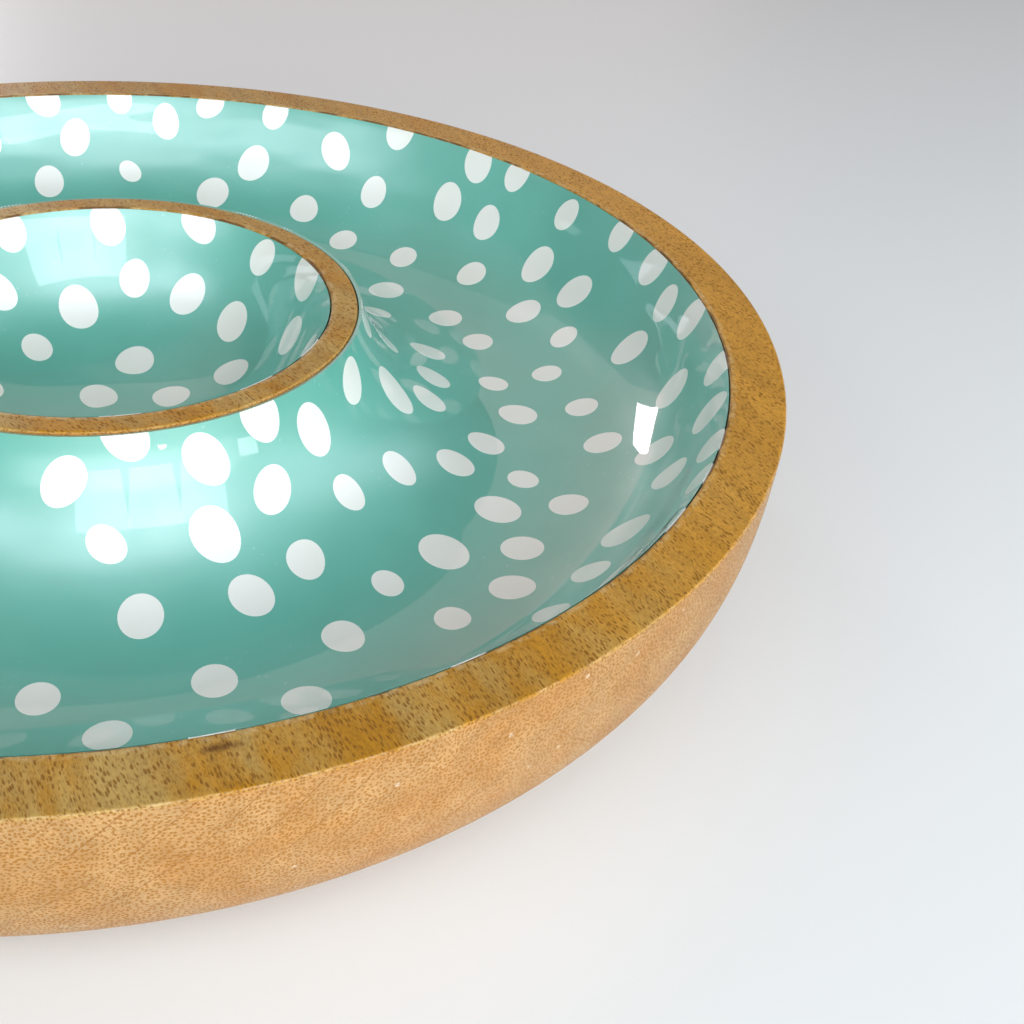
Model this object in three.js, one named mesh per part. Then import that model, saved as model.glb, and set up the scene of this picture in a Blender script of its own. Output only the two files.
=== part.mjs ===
// Chip and dip server: a turned wooden bowl with a raised dip cup in the middle.
// The chip well around the cup and the inside of the cup are lined with enamel.
// The bowl's rim, the cup's rim and the whole outside are bare wood.
// Millimetres, +Z up. The origin is the centre of the flat base.
import * as THREE from 'three';

// Driving dimensions.
const rimRadius = 152.5; // outer edge of the bowl's flat rim
const rimWidth = 12.1; // bare wood between the bowl's outer edge and the well
const rimHeight = 52; // rim above the base
const baseRadius = 80; // flat face that the bowl stands on
const wellDepth = 30; // lowest ring of the well, below the rim
const wellFloorRadius = 98; // radius of that lowest ring
const cupRimRadius = 56.5; // outer edge of the cup's bare rim
const cupRimWidth = 5.9;
const cupRise = 1.6; // the cup's rim stands above the bowl's rim
const cupDepth = 31; // centre of the cup, below the cup's rim
const seatRadius = 72; // recess in the bowl's floor that the cup's foot is glued into
const seatDepth = 3; // the recess, below the lowest ring of the well
const enamelThickness = 0.8;
const glueGap = 0.3; // between faces that touch: enamel on wood, cup in its recess
const edgeSoftness = 0.8; // worn corners of the bare wood
const segments = 48; // facets around the axis
const steps = 10; // straight pieces along each curve of the section

// Heights and radii that follow from them.
const rimInnerRadius = rimRadius - rimWidth;
const cupInnerRadius = cupRimRadius - cupRimWidth;
const cupRimHeight = rimHeight + cupRise;
const cupFloorHeight = cupRimHeight - cupDepth;
const wellFloorHeight = rimHeight - wellDepth;
const seatHeight = wellFloorHeight - seatDepth;
const woodUnderEnamel = enamelThickness + glueGap;

const point = (radius, height) => new THREE.Vector2(radius, height);

// The section is drawn as four curves, each from its inner or lower end. A curve's
// two handles set its direction at its ends and how full it is.
const wellFloor = point(wellFloorRadius, wellFloorHeight);
const wallTop = point(rimInnerRadius - glueGap, rimHeight - glueGap);
const flankTop = point(cupRimRadius + woodUnderEnamel, cupRimHeight - glueGap);
const cupTop = point(cupInnerRadius - glueGap, cupRimHeight - glueGap);

const flank = new THREE.CubicBezierCurve(
  flankTop,
  point(flankTop.x + 4.6, flankTop.y - 20),
  point(wellFloorRadius - 18.3, wellFloorHeight),
  wellFloor,
);

const wall = new THREE.CubicBezierCurve(
  wellFloor,
  point(wellFloorRadius + 32.3, wellFloorHeight),
  point(wallTop.x - 6.5, wallTop.y - 8.5),
  wallTop,
);

const cupInside = new THREE.CubicBezierCurve(
  point(0, cupFloorHeight),
  point(cupInnerRadius * 0.86, cupFloorHeight),
  point(cupTop.x - 8.2, cupTop.y - 12.2),
  cupTop,
);

const outside = new THREE.CubicBezierCurve(
  point(baseRadius, 0),
  point(rimRadius - 4.4, 0),
  point(rimRadius - 1.2, rimHeight - 31),
  point(rimRadius, rimHeight - edgeSoftness),
);

// Points along a curve, moved down and away from its upper side by a depth.
function along(curve, depth = 0) {
  const points = [];
  for (let i = 0; i <= steps; i += 1) {
    const spot = curve.getPoint(i / steps);
    const way = curve.getTangent(i / steps);
    points.push(point(spot.x + way.y * depth, spot.y - way.x * depth));
  }
  return points;
}

// Holds points between two radii, so that an offset curve ends in an upright edge.
function between(least, most, points) {
  return points.map((spot) => point(THREE.MathUtils.clamp(spot.x, least, most), spot.y));
}

// A solid turned around the axis. Its section runs counter-clockwise, and starts and
// ends on the axis or closes on itself.
function turned(name, section, material) {
  const distinct = section.filter((spot, i) => i === 0 || spot.distanceTo(section[i - 1]) > 0.02);
  const geometry = new THREE.LatheGeometry(distinct, segments);
  geometry.rotateX(Math.PI / 2);
  const mesh = new THREE.Mesh(geometry, material);
  mesh.name = name;
  return mesh;
}

// The bowl's outer body: base, side, flat rim, well and the recess for the cup.
function woodBowl(wood) {
  const wellWood = [
    ...along(flank, woodUnderEnamel).filter((spot) => spot.x > seatRadius),
    ...along(wall, woodUnderEnamel).slice(1),
  ];
  const seatEdge = wellWood[0].y;
  return turned('wood_bowl', [
    point(0, 0),
    ...along(outside),
    point(rimRadius - edgeSoftness, rimHeight),
    point(rimInnerRadius, rimHeight),
    ...between(0, rimInnerRadius, wellWood).reverse(),
    point(seatRadius, seatEdge),
    point(seatRadius, seatHeight),
    point(0, seatHeight),
  ], wood);
}

// The dip cup: turned on its own, with a flared foot that stands in the recess.
function dipCup(wood) {
  const footRadius = seatRadius - glueGap;
  const footHeight = seatHeight + glueGap;
  const flankWood = between(cupRimRadius, footRadius, along(flank, woodUnderEnamel));
  const footEdge = flankWood.findIndex((spot) => spot.x === footRadius);
  return turned('dip_cup', [
    point(0, footHeight),
    point(footRadius, footHeight),
    ...flankWood.slice(0, footEdge + 1).reverse(),
    point(cupRimRadius, cupRimHeight - edgeSoftness),
    point(cupRimRadius - edgeSoftness, cupRimHeight),
    point(cupInnerRadius, cupRimHeight),
    ...between(0, cupInnerRadius, along(cupInside, woodUnderEnamel)).reverse(),
  ], wood);
}

// The enamel that covers the cup's flank and the well in one unbroken skin.
function wellEnamel(enamel) {
  const upper = [...along(flank), ...along(wall).slice(1)];
  const lower = [...along(flank, enamelThickness), ...along(wall, enamelThickness).slice(1)];
  const underside = between(cupRimRadius + glueGap, rimInnerRadius - glueGap, lower);
  return turned('well_enamel', [...underside, ...upper.reverse(), underside[0]], enamel);
}

// The enamel that lines the inside of the cup.
function cupEnamel(enamel) {
  const underside = between(0, cupInnerRadius - glueGap, along(cupInside, enamelThickness));
  return turned('cup_enamel', [...underside, ...along(cupInside).reverse()], enamel);
}

const bareWood = new THREE.MeshStandardMaterial({
  color: 0xbf9152,
  roughness: 0.45,
  metalness: 0,
});

const tealEnamel = new THREE.MeshStandardMaterial({
  color: 0x7fc4bf,
  roughness: 0.12,
  metalness: 0,
});

const chipAndDipServer = new THREE.Group();
chipAndDipServer.add(
  woodBowl(bareWood),
  dipCup(bareWood),
  wellEnamel(tealEnamel),
  cupEnamel(tealEnamel),
);

export default chipAndDipServer;
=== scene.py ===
import bisect
import math
import random

import bpy
from mathutils import Matrix, Vector


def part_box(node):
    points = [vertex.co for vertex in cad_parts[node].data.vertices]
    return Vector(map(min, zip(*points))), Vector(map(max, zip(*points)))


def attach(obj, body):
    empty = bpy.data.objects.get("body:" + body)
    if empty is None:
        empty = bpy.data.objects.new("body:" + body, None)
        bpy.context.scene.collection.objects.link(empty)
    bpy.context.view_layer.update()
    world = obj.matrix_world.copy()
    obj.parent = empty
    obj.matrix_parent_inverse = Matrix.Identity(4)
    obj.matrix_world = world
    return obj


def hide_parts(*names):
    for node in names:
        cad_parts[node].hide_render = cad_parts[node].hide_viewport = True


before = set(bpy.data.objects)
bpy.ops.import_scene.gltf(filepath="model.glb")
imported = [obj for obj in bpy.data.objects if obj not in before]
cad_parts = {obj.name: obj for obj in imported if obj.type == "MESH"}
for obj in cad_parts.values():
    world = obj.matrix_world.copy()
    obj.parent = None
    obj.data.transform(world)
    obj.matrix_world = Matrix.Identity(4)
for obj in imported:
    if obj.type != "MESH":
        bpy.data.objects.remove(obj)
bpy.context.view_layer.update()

MM = 0.001

# Sizes taken from the frame.
bowl_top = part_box("wood_bowl")[1]
rim_radius = bowl_top.x
rim_height = bowl_top.z
cup_rim_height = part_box("dip_cup")[1].z

# Sizes that the frame's boxes don't show, as in the CAD model.
rim_inner_radius = rim_radius - 12.1 * MM
base_radius = 80 * MM
cup_rim_radius = 56.5 * MM
cup_inner_radius = cup_rim_radius - 5.9 * MM
enamel_thickness = 0.8 * MM
seam = 0.3 * MM
well_floor_radius = 98 * MM
well_floor_height = rim_height - 30 * MM
cup_floor_height = cup_rim_height - 31 * MM
seat_radius = 72 * MM
seat_height = well_floor_height - 3 * MM
wood_depth = enamel_thickness + seam

# The wood's grain: the angle of its fibres in plan, counter-clockwise from +X.
BOWL_GRAIN = math.radians(103)
CUP_GRAIN = math.radians(120)

ROUND_STEPS = 384


# ---- Sections ----------------------------------------------------------------

def curve(start, start_handle, end_handle, end, steps):
    """Points (radius, height) along a cubic curve, ends included."""
    points = []
    for i in range(steps + 1):
        t = i / steps
        weights = ((1 - t) ** 3, 3 * (1 - t) ** 2 * t, 3 * (1 - t) * t ** 2, t ** 3)
        corners = (start, start_handle, end_handle, end)
        points.append(tuple(sum(w * c[k] for w, c in zip(weights, corners)) for k in (0, 1)))
    return points


def sunk(points, depth):
    """A section moved to the right of the way it runs, which is down into the wood."""
    moved = []
    for i, (radius, height) in enumerate(points):
        before = points[max(i - 1, 0)]
        after = points[min(i + 1, len(points) - 1)]
        run = math.hypot(after[0] - before[0], after[1] - before[1])
        across = ((after[1] - before[1]) / run, -(after[0] - before[0]) / run)
        moved.append((radius + across[0] * depth, height + across[1] * depth))
    return moved


def held(points, least, most):
    """Holds a section between two radii."""
    return [(min(max(radius, least), most), height) for radius, height in points]


def softened(corner, before, after, radius, steps=5):
    """A round corner between two neighbouring points of a section."""
    corner = Vector(corner)
    start = corner + (Vector(before) - corner).normalized() * radius
    end = corner + (Vector(after) - corner).normalized() * radius
    return curve(start, start.lerp(corner, 0.6), end.lerp(corner, 0.6), end, steps)


flank_top = (cup_rim_radius + wood_depth, cup_rim_height - seam)
well_floor = (well_floor_radius, well_floor_height)
wall_top = (rim_inner_radius - seam, rim_height - seam)
cup_top = (cup_inner_radius - seam, cup_rim_height - seam)

flank = curve(
    flank_top,
    (flank_top[0] + 4.6 * MM, flank_top[1] - 20 * MM),
    (well_floor_radius - 18.3 * MM, well_floor_height),
    well_floor,
    60,
)
wall = curve(
    well_floor,
    (well_floor_radius + 32.3 * MM, well_floor_height),
    (wall_top[0] - 6.5 * MM, wall_top[1] - 8.5 * MM),
    wall_top,
    60,
)
well = flank + wall[1:]
cup_inside = curve(
    (0.0, cup_floor_height),
    (cup_inner_radius * 0.86, cup_floor_height),
    (cup_top[0] - 8.2 * MM, cup_top[1] - 12.2 * MM),
    cup_top,
    60,
)


# ---- Meshes ------------------------------------------------------------------

def add_mesh(name, vertices, faces, material, body="root"):
    mesh = bpy.data.meshes.new(name)
    mesh.from_pydata(vertices, [], faces)
    mesh.polygons.foreach_set("use_smooth", [True] * len(mesh.polygons))
    mesh.set_sharp_from_angle(angle=math.radians(50))
    mesh.materials.append(material)
    mesh.update()
    piece = bpy.data.objects.new(name, mesh)
    bpy.context.scene.collection.objects.link(piece)
    if body:
        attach(piece, body)
    return piece


def turned(name, section, material):
    """A section turned round the axis. A point on the axis becomes one vertex."""
    distinct = [section[0]]
    for spot in section[1:]:
        if math.dist(spot, distinct[-1]) > 0.01 * MM:
            distinct.append(spot)
    closes = math.dist(distinct[0], distinct[-1]) <= 0.01 * MM
    if closes:
        distinct.pop()
    vertices = []
    rings = []
    for radius, height in distinct:
        if radius < 0.001 * MM:
            rings.append([len(vertices)] * ROUND_STEPS)
            vertices.append((0.0, 0.0, height))
            continue
        rings.append(list(range(len(vertices), len(vertices) + ROUND_STEPS)))
        for k in range(ROUND_STEPS):
            angle = 2 * math.pi * k / ROUND_STEPS
            vertices.append((radius * math.cos(angle), radius * math.sin(angle), height))
    faces = []
    pairs = list(zip(rings, rings[1:]))
    if closes:
        pairs.append((rings[-1], rings[0]))
    for low, high in pairs:
        for k in range(ROUND_STEPS):
            m = (k + 1) % ROUND_STEPS
            corners = list(dict.fromkeys((low[k], low[m], high[m], high[k])))
            if len(corners) > 2:
                faces.append(corners)
    return add_mesh(name, vertices, faces, material)


# ---- Node helpers ------------------------------------------------------------

def node(tree, kind, inputs=None, **settings):
    """Adds a shader node. Inputs are sockets to link or values to set."""
    made = tree.nodes.new("ShaderNode" + kind)
    for key, value in settings.items():
        setattr(made, key, value)
    for key, value in (inputs or {}).items():
        if isinstance(value, bpy.types.NodeSocket):
            tree.links.new(value, made.inputs[key])
        else:
            made.inputs[key].default_value = value
    return made


def maths(tree, operation, *values):
    return node(tree, "Math", dict(enumerate(values)), operation=operation).outputs[0]


def vector_maths(tree, operation, *values):
    return node(tree, "VectorMath", dict(enumerate(values)), operation=operation).outputs[0]


def length(tree, vector):
    return node(tree, "VectorMath", {0: vector}, operation="LENGTH").outputs["Value"]


def ranged(tree, value, low, high, to_low=0.0, to_high=1.0):
    """Maps low..high smoothly to to_low..to_high and holds it there."""
    inputs = {"Value": value, "From Min": low, "From Max": high, "To Min": to_low, "To Max": to_high}
    return node(tree, "MapRange", inputs, interpolation_type="SMOOTHSTEP").outputs["Result"]


def mixed(tree, factor, first, second, blend="MIX"):
    """Mixes two colours."""
    made = node(tree, "Mix", {0: factor, 6: first, 7: second}, data_type="RGBA", blend_type=blend)
    return made.outputs[2]


def product(tree, *factors):
    result = factors[0]
    for factor in factors[1:]:
        result = maths(tree, "MULTIPLY", result, factor)
    return result


def painted(tree, tone, mask, strength, paint):
    """Lays a paint over a tone where the mask is 1, at a given strength."""
    return mixed(tree, product(tree, mask, strength), tone, paint)


def shaded(tree, tone, shade):
    """A colour made darker or lighter by a number."""
    grey = node(tree, "CombineColor", {0: shade, 1: shade, 2: shade}).outputs[0]
    return mixed(tree, 1.0, tone, grey, "MULTIPLY")


def noise(tree, place, scale, detail=2.0, roughness=0.5):
    inputs = {"Vector": place, "Scale": scale, "Detail": detail, "Roughness": roughness}
    return node(tree, "TexNoise", inputs).outputs["Fac"]


def cell_distance(tree, place, scale=1.0, randomness=1.0, dimensions="3D"):
    """The distance to the nearest of many scattered points."""
    inputs = {"Vector": place, "Scale": scale, "Randomness": randomness}
    made = node(tree, "TexVoronoi", inputs, voronoi_dimensions=dimensions)
    return made.outputs["Distance"]


def stretched(tree, place, x, y, z):
    return node(tree, "Mapping", {"Vector": place, "Scale": (x, y, z)}).outputs[0]


def new_material(name):
    material = bpy.data.materials.new(name)
    material.use_nodes = True
    tree = material.node_tree
    tree.nodes.clear()
    shader = node(tree, "BsdfPrincipled")
    output = node(tree, "OutputMaterial")
    tree.links.new(shader.outputs[0], output.inputs[0])
    return material, tree, shader


def colour(r, g, b):
    """A colour from its 0-255 screen values."""
    linear = []
    for value in (r, g, b):
        v = value / 255
        linear.append(v / 12.92 if v <= 0.04045 else ((v + 0.055) / 1.055) ** 2.4)
    return (*linear, 1.0)


def place_in_mm(tree, turn=0.0, shift=(0.0, 0.0, 0.0)):
    """The point on the object in millimetres, turned so that the grain runs along X."""
    inputs = {
        "Vector": node(tree, "TexCoord").outputs["Object"],
        "Location": shift,
        "Rotation": (0.0, 0.0, -turn),
        "Scale": (1 / MM, 1 / MM, 1 / MM),
    }
    return node(tree, "Mapping", inputs).outputs[0]


def round_place(tree, place):
    """The distance from the axis, the height, and the direction from the axis."""
    parts = node(tree, "SeparateXYZ", {0: place}).outputs
    flat = node(tree, "CombineXYZ", {0: parts[0], 1: parts[1]}).outputs[0]
    return length(tree, flat), parts[2], vector_maths(tree, "NORMALIZE", flat)


# ---- Wood --------------------------------------------------------------------

# The side's tones are paler and greyer than the top's: partly the grain's other face, partly a painted
# sheen.
SIDE_PALE = colour(184, 143, 92)
SIDE_DARK = colour(179, 130, 74)
TOP_PALE = colour(182, 147, 80)
TOP_DARK = colour(180, 124, 28)
TOP_RED = colour(204, 146, 54)
SIDE_PORE = colour(152, 98, 20)
TOP_PORE = colour(128, 80, 14)
TOOL_LINE = colour(140, 86, 22)
SPECK = colour(224, 212, 190)
# Colour of the pale outer edge: partly wear, partly a painted highlight.
EDGE_WEAR_AND_HIGHLIGHT = colour(220, 188, 146)
SCUFF = colour(214, 188, 140)
STAIN = colour(92, 58, 26)
KNOT = colour(96, 58, 20)

# Pores and flecks, in millimetres along the grain and across it.
DASH = (1.9, 0.55)
FLECK = (1.0, 0.30)
DOT_SPACING = 0.74


def flowing_grain(tree, place):
    """The grain's own coordinates, which wander a little from straight."""
    wander = noise(tree, stretched(tree, place, 0.02, 0.05, 0.05), 1.0)
    across = product(tree, wander, 6.0)
    upward = product(tree, wander, 4.0)
    drift = node(tree, "CombineXYZ", {1: across, 2: upward}).outputs[0]
    return vector_maths(tree, "ADD", place, drift)


def tube_mask(tree, grain, measures, size):
    """Short tubes along the grain. A face along the grain shows them as dashes."""
    along, across = measures
    place = stretched(tree, grain, 1 / along, 1 / across, 1 / across)
    distance = cell_distance(tree, place, randomness=0.85)
    return ranged(tree, maths(tree, "SUBTRACT", distance, size), -0.08, 0.07, 1.0, 0.0)


def dot_mask(tree, grain, spacing, size):
    """Round pores, as the ends of the tubes show them."""
    place = stretched(tree, grain, 0.12 / spacing, 1 / spacing, 1 / spacing)
    parts = node(tree, "SeparateXYZ", {0: place}).outputs
    sideways = maths(tree, "ADD", parts[1], product(tree, parts[0], 0.3))
    flat = node(tree, "CombineXYZ", {0: sideways, 1: parts[2]}).outputs[0]
    distance = cell_distance(tree, flat, randomness=0.8, dimensions="2D")
    return ranged(tree, maths(tree, "SUBTRACT", distance, size), -0.09, 0.08, 1.0, 0.0)


def end_grain_share(tree, grain_angle):
    """1 where the surface cuts across the grain, 0 where it runs along it."""
    fibre = (math.cos(grain_angle), math.sin(grain_angle), 0.0)
    normal = node(tree, "NewGeometry").outputs["Normal"]
    facing = node(tree, "VectorMath", {0: normal, 1: fibre}, operation="DOT_PRODUCT")
    return ranged(tree, maths(tree, "ABSOLUTE", facing.outputs["Value"]), 0.5, 0.8)


def pore_mask(tree, grain, grain_angle, on_top):
    """Dashes along the grain and dots across it, more crowded in some places."""
    crowding = noise(tree, stretched(tree, grain, 0.08, 0.2, 0.2), 1.0)
    dash_size = ranged(tree, crowding, 0.3, 0.7, 0.29, 0.40)
    dash_size = maths(tree, "MULTIPLY_ADD", on_top, -0.05, dash_size)
    dashes = tube_mask(tree, grain, DASH, dash_size)
    dots = dot_mask(tree, grain, DOT_SPACING, ranged(tree, crowding, 0.3, 0.7, 0.25, 0.34))
    share = end_grain_share(tree, grain_angle)
    return node(tree, "Mix", {0: share, 2: dashes, 3: dots}).outputs[0]


def ground_tone(tree, grain, place, on_top):
    """The wood between the pores: blotches and bands, redder towards +X on the rim, and a paler side
    that is partly painted sheen.
    """
    blotches = noise(tree, stretched(tree, grain, 0.035, 0.09, 0.09), 1.0, 4.0, 0.6)
    patches = ranged(tree, blotches, 0.36, 0.66)
    # The side's paler tones hold a painted sheen as well as the wood's own colour.
    side_tone_with_sheen = mixed(tree, patches, SIDE_PALE, SIDE_DARK)
    top_tone = mixed(tree, patches, TOP_PALE, TOP_DARK)
    rightward = node(tree, "SeparateXYZ", {0: place}).outputs[0]
    top_tone = mixed(tree, ranged(tree, rightward, 30.0, 150.0), top_tone, TOP_RED)
    tone = mixed(tree, on_top, side_tone_with_sheen, top_tone)
    bands = noise(tree, stretched(tree, grain, 0.008, 0.2, 0.2), 1.0, 3.0, 0.6)
    return shaded(tree, tone, ranged(tree, bands, 0.3, 0.7, 0.9, 1.07))


def knot_mask(tree, place):
    """A small dark knot in the front of the rim, drawn out along it."""
    around = math.radians(-85.7)
    reach_out = rim_inner_radius + 3.0 * MM
    middle = Vector((reach_out * math.cos(around), reach_out * math.sin(around), rim_height)) / MM
    from_middle = vector_maths(tree, "SUBTRACT", place, tuple(middle))
    turned_back = {"Vector": from_middle, "Rotation": (0.0, 0.0, -around)}
    facing = node(tree, "Mapping", turned_back).outputs[0]
    reach = length(tree, stretched(tree, facing, 1.0, 1 / 3.4, 0.5))
    ragged = maths(tree, "MULTIPLY_ADD", noise(tree, place, 0.9, 3.0, 0.7), 1.6, reach)
    return ranged(tree, ragged, 1.0, 2.2, 1.0, 0.0)


def edge_distance(tree, radius, height, edge, level):
    """Millimetres from a turned edge."""
    out = maths(tree, "SUBTRACT", radius, edge / MM)
    up = maths(tree, "SUBTRACT", height, level / MM)
    return length(tree, node(tree, "CombineXYZ", {0: out, 1: up}).outputs[0])


def wrapped(tree, outward, width, height):
    """A point that goes round the axis at a given width, and up with the height."""
    around = vector_maths(tree, "SCALE", outward)
    around.node.inputs["Scale"].default_value = width
    lifted = node(tree, "CombineXYZ", {2: height}).outputs[0]
    return vector_maths(tree, "ADD", around, lifted)


def tool_lines(tree, outward, height):
    """Thin slanting scratches on the side, left by turning and sanding."""
    spacing = 6
    side = wrapped(tree, outward, rim_radius / MM, height)
    slant = {"Vector": side, "Rotation": (0.0, math.radians(42), 0.0)}
    tilted = node(tree, "Mapping", slant).outputs[0]
    across = node(tree, "SeparateXYZ", {0: tilted}).outputs[2]
    uneven = product(tree, noise(tree, side, 0.02, 1.0), 1.6)
    phase = maths(tree, "FRACT", maths(tree, "MULTIPLY_ADD", across, 1 / spacing, uneven))
    off_line = maths(tree, "ABSOLUTE", maths(tree, "SUBTRACT", phase, 0.5))
    line = ranged(tree, off_line, 0.0, 0.03, 1.0, 0.0)
    patches = ranged(tree, noise(tree, side, 0.05, 2.0), 0.42, 0.54)
    return product(tree, line, patches)


def worn_and_highlit_edges(tree, tone, place, outer_gap, inner_gap):
    """The outer edge rubbed pale in places, with a painted highlight along it as well; the inner edge
    scuffed and stained.
    """
    chipped = ranged(tree, noise(tree, place, 0.5, 4.0, 0.7), 0.42, 0.6)
    # The pale line along the outer edge is partly wear and partly a painted highlight.
    outer_wear_and_highlight = ranged(tree, outer_gap, 0.15, 0.38, 1.0, 0.0)
    tone = painted(tree, tone, product(tree, outer_wear_and_highlight, chipped), 0.35, EDGE_WEAR_AND_HIGHLIGHT)
    scuffed = ranged(tree, inner_gap, 0.9, 1.7, 1.0, 0.0)
    tone = painted(tree, tone, product(tree, scuffed, chipped), 0.35, SCUFF)
    stained = ranged(tree, noise(tree, place, 0.09, 3.0, 0.6), 0.46, 0.6)
    close = ranged(tree, inner_gap, 0.3, 0.6, 1.0, 0.0)
    return painted(tree, tone, product(tree, close, stained), 0.8, STAIN)


def wood(name, grain_angle, plank, outer_edge, inner_edge, top, has_knot=False):
    """Mango wood: honey-coloured, flecked with short pores that follow the grain."""
    material, tree, shader = new_material(name)
    place = place_in_mm(tree)
    grain = flowing_grain(tree, place_in_mm(tree, grain_angle, plank))
    radius, height, outward = round_place(tree, place)
    on_top = ranged(tree, height, top / MM - 0.7, top / MM - 0.25)
    on_side = maths(tree, "SUBTRACT", 1.0, on_top)

    fibres = noise(tree, stretched(tree, grain, 0.35, 2.6, 2.6), 1.0, 2.0, 0.6)
    flecks = tube_mask(tree, grain, FLECK, 0.42)
    pores = pore_mask(tree, grain, grain_angle, on_top)
    lines = product(tree, tool_lines(tree, outward, height), on_side)
    specks = ranged(tree, cell_distance(tree, place, 0.16), 0.06, 0.11, 1.0, 0.0)
    specks = product(tree, specks, on_side, ranged(tree, fibres, 0.42, 0.6))

    tone = ground_tone(tree, grain, place, on_top)
    tone = shaded(tree, tone, ranged(tree, fibres, 0.3, 0.7, 0.9, 1.08))
    pore_tone = mixed(tree, on_top, SIDE_PORE, TOP_PORE)
    tone = painted(tree, tone, flecks, 0.38, pore_tone)
    tone = painted(tree, tone, pores, 0.8, pore_tone)
    tone = painted(tree, tone, lines, 0.7, TOOL_LINE)
    tone = painted(tree, tone, specks, 0.6, SPECK)
    outer_gap = edge_distance(tree, radius, height, outer_edge, top)
    inner_gap = edge_distance(tree, radius, height, inner_edge, top)
    tone = worn_and_highlit_edges(tree, tone, place, outer_gap, inner_gap)
    if has_knot:
        tone = painted(tree, tone, knot_mask(tree, place), 0.8, KNOT)
    tree.links.new(tone, shader.inputs["Base Color"])

    rough = maths(tree, "MULTIPLY_ADD", fibres, 0.2, 0.3)
    rough = maths(tree, "MULTIPLY_ADD", pores, 0.2, rough)
    tree.links.new(rough, shader.inputs["Roughness"])
    shader.inputs["Specular IOR Level"].default_value = 0.3
    relief = maths(tree, "MULTIPLY_ADD", pores, -1.0, product(tree, fibres, 0.35))
    relief = maths(tree, "MULTIPLY_ADD", lines, -0.3, relief)
    bump = node(tree, "Bump", {"Height": relief, "Distance": 0.08 * MM, "Strength": 0.7})
    tree.links.new(bump.outputs[0], shader.inputs["Normal"])
    return material


# ---- Enamel ------------------------------------------------------------------

TEAL_LIGHT = colour(86, 178, 158)
TEAL_DEEP = colour(78, 170, 149)
WHITE_LIGHT = colour(245, 243, 233)
WHITE_DEEP = colour(240, 238, 226)
DUST = colour(225, 240, 232)


def gloss_relief(tree):
    """The coat's waves: slow everywhere, and long low rings of them up the wall."""
    place = place_in_mm(tree)
    radius, height, outward = round_place(tree, place)
    slow = product(tree, noise(tree, place, 0.022, 0.0), 0.9)
    ring_place = wrapped(tree, outward, rim_inner_radius / MM * 0.035, product(tree, height, 0.13))
    rings = noise(tree, ring_place, 1.0, 0.5)
    upper = ranged(tree, radius, 118.0, 134.0, 0.0, 0.9)
    waves = maths(tree, "MULTIPLY_ADD", rings, upper, slow)
    bump = node(tree, "Bump", {"Height": waves, "Distance": 1.0 * MM, "Strength": 1.0})
    return bump.outputs[0]


def enamel(name, light, deep):
    """A gloss coat of one colour over a satin ground, with faint clouds and dust in it."""
    material, tree, shader = new_material(name)
    place = place_in_mm(tree)
    clouds = ranged(tree, noise(tree, place, 0.03, 2.0), 0.3, 0.7)
    tone = mixed(tree, clouds, deep, light)
    dust = ranged(tree, cell_distance(tree, place, 0.35), 0.08, 0.16, 1.0, 0.0)
    dusty = ranged(tree, noise(tree, place, 0.06, 1.0), 0.5, 0.65, 0.0, 0.12)
    tone = painted(tree, tone, dust, dusty, DUST)
    tree.links.new(tone, shader.inputs["Base Color"])
    satin = ranged(tree, noise(tree, place, 0.08, 4.0, 0.6), 0.3, 0.7, 0.46, 0.54)
    tree.links.new(satin, shader.inputs["Roughness"])
    shader.inputs["IOR"].default_value = 1.9
    shader.inputs["Specular IOR Level"].default_value = 1.0
    shader.inputs["Coat Weight"].default_value = 1.0
    shader.inputs["Coat Roughness"].default_value = 0.015
    waves = gloss_relief(tree)
    tree.links.new(waves, shader.inputs["Normal"])
    tree.links.new(waves, shader.inputs["Coat Normal"])
    return material


def floor_material():
    material, tree, shader = new_material("pale_floor")
    shader.inputs["Base Color"].default_value = colour(236, 236, 233)
    shader.inputs["Roughness"].default_value = 0.45
    return material


# ---- Wooden pieces -----------------------------------------------------------

def bowl_section():
    corner = (rim_radius, rim_height)
    inner_corner = (rim_inner_radius, rim_height)
    side = curve(
        (base_radius, 0.0),
        (rim_radius - 4.4 * MM, 0.0),
        (rim_radius - 1.2 * MM, rim_height - 31 * MM),
        (rim_radius, rim_height - 0.5 * MM),
        80,
    )
    wood_under = [spot for spot in sunk(well, wood_depth) if spot[0] > seat_radius]
    wood_under = held(wood_under, 0.0, rim_inner_radius)
    section = [(0.0, 0.0), (base_radius * 0.5, 0.0)]
    section += side
    section += softened(corner, side[-1], inner_corner, 0.5 * MM)
    section += [(rim_radius - step * MM, rim_height) for step in (1.0, 3.0, 6.0, 9.0, 11.0)]
    section += softened(inner_corner, corner, (rim_inner_radius, 0.0), 0.35 * MM)
    section += wood_under[::-1]
    section += [(seat_radius, wood_under[0][1]), (seat_radius, seat_height), (0.0, seat_height)]
    return section


def cup_section():
    foot_radius = seat_radius - seam
    foot_height = seat_height + seam
    outer = (cup_rim_radius, cup_rim_height)
    inner = (cup_inner_radius, cup_rim_height)
    flank_wood = [spot for spot in sunk(flank, wood_depth) if spot[0] < foot_radius]
    flank_wood = held(flank_wood, cup_rim_radius, foot_radius)
    section = [(0.0, foot_height), (foot_radius, foot_height), (foot_radius, flank_wood[-1][1])]
    section += flank_wood[::-1]
    section += softened(outer, (cup_rim_radius, 0.0), inner, 0.6 * MM)
    section += [(cup_rim_radius - step * MM, cup_rim_height) for step in (1.2, 2.95, 4.7)]
    section += softened(inner, outer, (cup_inner_radius, 0.0), 0.5 * MM)
    section += held(sunk(cup_inside, wood_depth), 0.0, cup_inner_radius)[::-1]
    return section


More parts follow.
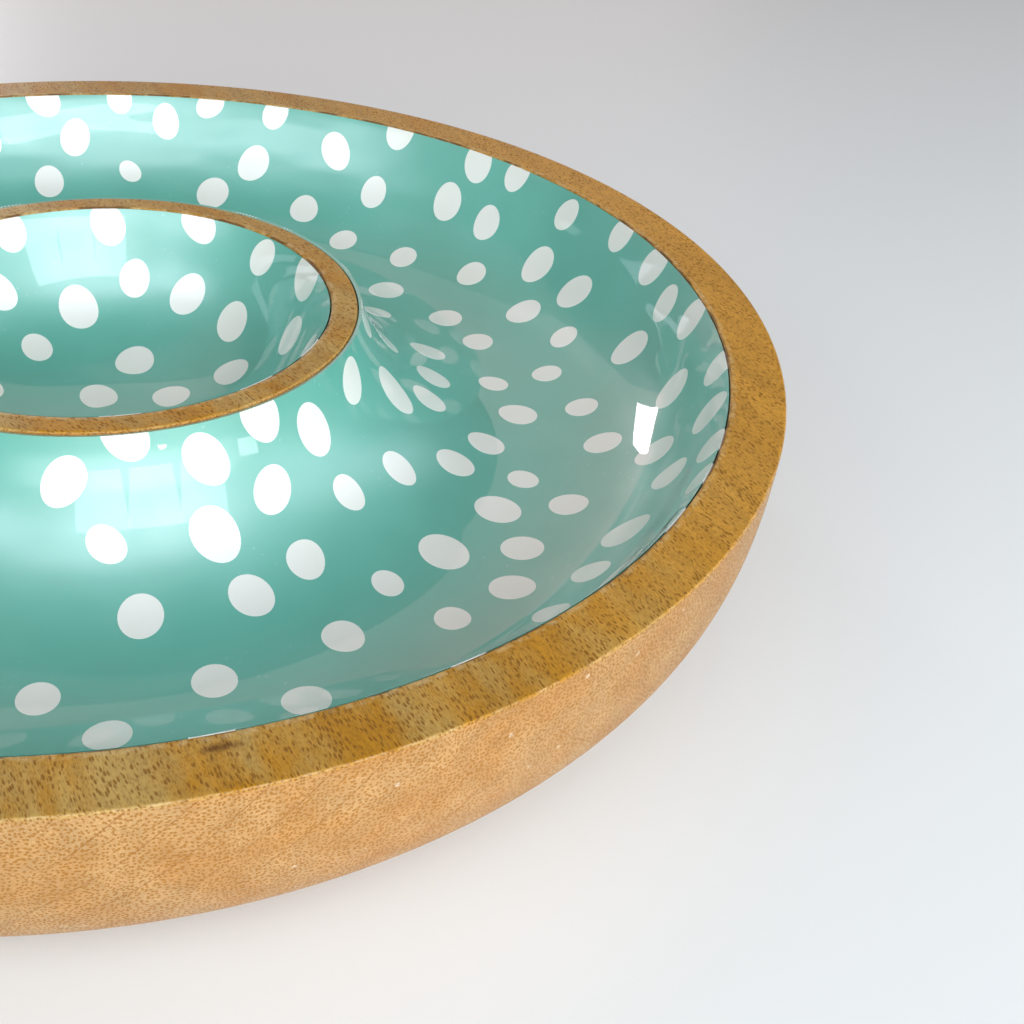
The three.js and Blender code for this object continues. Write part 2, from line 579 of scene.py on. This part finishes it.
def skin_section(upper, least, most):
    """A thin coat under an upper surface, closed on itself or on the axis."""
    under = held(sunk(upper, enamel_thickness), least, most)
    closed = under + upper[::-1]
    if under[0][0] > 0.001 * MM:
        closed.append(under[0])
    return closed


# ---- Spots -------------------------------------------------------------------

class Surface:
    """An enamelled surface: a section by its arc length, turned round the axis."""

    def __init__(self, section):
        self.section = section
        self.widest = max(radius for radius, height in section)
        self.arc = [0.0]
        for first, second in zip(section, section[1:]):
            self.arc.append(self.arc[-1] + math.dist(first, second))
        self.length = self.arc[-1]

    def at(self, along):
        """Radius, height, and the upward normal's parts, at an arc length."""
        along = min(max(along, 0.0), self.length)
        i = min(bisect.bisect_right(self.arc, along), len(self.arc) - 1)
        first, second = self.section[i - 1], self.section[i]
        run = self.arc[i] - self.arc[i - 1]
        t = (along - self.arc[i - 1]) / run
        radius = first[0] + (second[0] - first[0]) * t
        height = first[1] + (second[1] - first[1]) * t
        return radius, height, -(second[1] - first[1]) / run, (second[0] - first[0]) / run

    def point(self, along, angle, lift):
        radius, height, out, up = self.at(along)
        radius += out * lift
        return (radius * math.cos(angle), radius * math.sin(angle), height + up * lift)


def scatter(surface, spacing, tries, dice):
    """Centres at least a spacing apart, as even as spots dotted on by hand."""
    centres = []
    for _ in range(tries):
        along = dice.uniform(0.0, surface.length)
        angle = dice.uniform(-math.pi, math.pi)
        if dice.random() > surface.at(along)[0] / surface.widest:
            continue
        spot = Vector(surface.point(along, angle, 0.0))
        if all((spot - other[2]).length > spacing for other in centres):
            centres.append((along, angle, spot))
    return [(along, angle) for along, angle, _ in centres]


SPOT_SIDES = 32
SPOT_LIFT = 0.03 * MM
SPOT_DEPTH = 0.3 * MM
SPOT_RINGS = [(size, SPOT_LIFT) for size in (0.25, 0.5, 0.75, 1.0)] + [(1.0, -SPOT_DEPTH)]
SPOT_SPACING = 14.2 * MM


def spots(name, surface, spacing, seed, material):
    """Ovals of white enamel, let into the coat and flush with it."""
    dice = random.Random(seed)
    vertices, faces = [], []
    for along, angle in scatter(surface, spacing, 5000, dice):
        steepness = abs(surface.at(along)[2])
        half_width = dice.gauss(4.15, 0.4) * MM
        half_length = half_width * (1.06 + 0.38 * steepness ** 2)
        tilt = dice.gauss(0.0, 0.35)
        lumps = [(dice.uniform(0.0, 0.022), dice.uniform(0.0, 2 * math.pi), k) for k in (2, 3)]
        top = len(vertices)
        vertices.append(surface.point(along, angle, SPOT_LIFT))
        for size, lift in SPOT_RINGS:
            for k in range(SPOT_SIDES):
                turn = 2 * math.pi * k / SPOT_SIDES
                bulge = 1 + sum(depth * math.cos(waves * turn + start) for depth, start, waves in lumps)
                down = half_length * math.cos(turn) * bulge * size
                side = half_width * math.sin(turn) * bulge * size
                up_slope = down * math.cos(tilt) - side * math.sin(tilt)
                across = down * math.sin(tilt) + side * math.cos(tilt)
                new_along = along + up_slope
                radius = max(surface.at(new_along)[0], 2 * MM)
                vertices.append(surface.point(new_along, angle + across / radius, lift))
        bottom = len(vertices)
        vertices.append(surface.point(along, angle, -SPOT_DEPTH))
        first = top + 1
        last = bottom - SPOT_SIDES
        for k in range(SPOT_SIDES):
            m = (k + 1) % SPOT_SIDES
            faces.append((top, first + m, first + k))
            faces.append((bottom, last + k, last + m))
            for ring in range(len(SPOT_RINGS) - 1):
                inner = first + ring * SPOT_SIDES
                outer = inner + SPOT_SIDES
                faces.append((inner + k, inner + m, outer + m, outer + k))
    return add_mesh(name, vertices, faces, material)


# ---- Stage -------------------------------------------------------------------

def make_floor():
    half = 6.0
    corners = [(-half, -half, 0.0), (half, -half, 0.0), (half, half, 0.0), (-half, half, 0.0)]
    floor = add_mesh("floor", corners, [(0, 1, 2, 3)], floor_material(), body=None)


def make_camera():
    """The viewpoint: just outside the rim, looking across and down at the bowl's right half."""
    heading = math.radians(19.11)
    pitch = math.radians(34.70)
    roll = math.radians(5.85)
    data = bpy.data.cameras.new("camera")
    data.lens = 48.88
    data.sensor_width = 36.0
    data.clip_start = 0.01
    camera = bpy.data.objects.new("camera", data)
    bpy.context.scene.collection.objects.link(camera)
    place = Vector((0.0, -1.913 * rim_radius, rim_height + 0.959 * rim_radius))
    aim = Matrix.Rotation(-heading, 4, "Z") @ Matrix.Rotation(math.pi / 2 - pitch, 4, "X")
    camera.matrix_world = Matrix.Translation(place) @ aim @ Matrix.Rotation(roll, 4, "Z")
    bpy.context.scene.camera = camera


PANEL_DISTANCE = 1.3


def soften_panel(data, soft_edge):
    """Lets a panel fade out towards its edges, over a share of its width."""
    data.use_nodes = True
    tree = data.node_tree
    spot = node(tree, "NewGeometry").outputs["Parametric"]
    parts = node(tree, "SeparateXYZ", {0: spot}).outputs
    fades = []
    for part in (parts[0], parts[1]):
        off_centre = maths(tree, "ABSOLUTE", maths(tree, "SUBTRACT", part, 0.5))
        fades.append(ranged(tree, off_centre, 0.5 - soft_edge, 0.5, 1.0, 0.0))
    strength = maths(tree, "MULTIPLY", fades[0], fades[1])
    tree.links.new(strength, tree.nodes["Emission"].inputs["Strength"])


def panel(name, azimuth, elevation, wide, high, radiance, tint=(1.0, 1.0, 1.0), soft_edge=0.0):
    """A flat light that faces the bowl. Angles are in degrees, seen from the bowl."""
    data = bpy.data.lights.new(name, "AREA")
    data.shape = "RECTANGLE"
    data.size = 2 * PANEL_DISTANCE * math.tan(math.radians(wide / 2))
    data.size_y = 2 * PANEL_DISTANCE * math.tan(math.radians(high / 2))
    data.energy = radiance * math.pi * data.size * data.size_y
    data.color = tint
    if soft_edge:
        soften_panel(data, soft_edge)
    lamp = bpy.data.objects.new(name, data)
    bpy.context.scene.collection.objects.link(lamp)
    around, up = math.radians(azimuth), math.radians(elevation)
    away = Vector((math.cos(around) * math.cos(up), math.sin(around) * math.cos(up), math.sin(up)))
    lamp.location = away * PANEL_DISTANCE + Vector((0.0, 0.0, rim_height))
    lamp.rotation_mode = "QUATERNION"
    lamp.rotation_quaternion = away.to_track_quat("Z", "Y")
    lamp.visible_camera = False


def sunbeam():
    """A low warm beam that rests on the side of the bowl and fades out around it."""
    data = bpy.data.lights.new("sunbeam", "SPOT")
    data.energy = 1.5
    data.color = (1.0, 0.66, 0.46)
    data.spot_size = math.radians(9)
    data.spot_blend = 1.0
    data.shadow_soft_size = 0.02
    lamp = bpy.data.objects.new("sunbeam", data)
    bpy.context.scene.collection.objects.link(lamp)
    around = math.radians(-74)
    away = Vector((math.cos(around), math.sin(around), 0.0))
    lamp.location = away * 0.75 + Vector((0.0, 0.0, rim_height * 1.3))
    target = away * rim_radius + Vector((0.0, 0.0, rim_height * 0.55))
    lamp.rotation_mode = "QUATERNION"
    lamp.rotation_quaternion = (lamp.location - target).to_track_quat("Z", "Y")


def make_lights():
    sky = (0.82, 0.91, 1.0)
    pale = (0.94, 0.97, 1.0)
    warm = (1.0, 0.76, 0.72)
    for side, azimuth in (("left", -98), ("middle", -79), ("right", -60)):
        panel("window_" + side, azimuth, 25, 16, 30, 4.6, sky)
    panel("low_front", -84, 12, 100, 24, 3.1, pale, 0.3)
    panel("high_front", -92, 46, 90, 40, 2.7, sky, 0.4)
    panel("left_wall", -146, 34, 48, 30, 3.4, sky, 0.4)
    panel("far_window", -39, 8, 8, 8, 6.0, pale)
    panel("right_front", -16, 24, 60, 44, 2.0, sky, 0.4)
    panel("side_window", 20, 24, 50, 26, 1.6, sky, 0.5)
    panel("back_ceiling", 128, 50, 56, 30, 0.35, warm, 0.08)
    panel("pale_wall", 82, 23, 46, 42, 0.75, warm)
    panel("glint", 99, 12.5, 6, 9, 16.0)
    for azimuth, elevation in ((122, 3), (140, 8), (160, 14)):
        panel("shelf_%d" % azimuth, azimuth, elevation, 26, 4, 1.6, sky, 0.1)
    sunbeam()
    world = bpy.data.worlds.new("room")
    world.use_nodes = True
    background = world.node_tree.nodes["Background"]
    background.inputs["Color"].default_value = (1.0, 0.98, 0.92, 1.0)
    background.inputs["Strength"].default_value = 0.09
    bpy.context.scene.world = world


# ---- Building ----------------------------------------------------------------

make_camera()
make_floor()
make_lights()
bpy.context.scene.view_settings.view_transform = "Standard"

bowl_edges = (rim_radius, rim_inner_radius, rim_height)
cup_edges = (cup_rim_radius, cup_inner_radius, cup_rim_height)
bowl_wood = wood("bowl_wood", BOWL_GRAIN, (0.0, 0.0, 0.0), *bowl_edges, has_knot=True)
cup_wood = wood("cup_wood", CUP_GRAIN, (70.0, 35.0, 20.0), *cup_edges)
teal = enamel("teal_enamel", TEAL_LIGHT, TEAL_DEEP)
white = enamel("white_enamel", WHITE_LIGHT, WHITE_DEEP)

bowl = turned("turned_bowl", bowl_section(), bowl_wood)
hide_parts("wood_bowl")

cup = turned("turned_cup", cup_section(), cup_wood)
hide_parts("dip_cup")

well_lining = turned("well_lining", skin_section(well, cup_rim_radius + seam, wall_top[0]), teal)
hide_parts("well_enamel")

cup_lining = turned("cup_lining", skin_section(cup_inside, 0.0, cup_top[0]), teal)
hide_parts("cup_enamel")

well_spots = spots("well_spots", Surface(well), SPOT_SPACING, 11, white)
cup_spots = spots("cup_spots", Surface(cup_inside), SPOT_SPACING, 5, white)
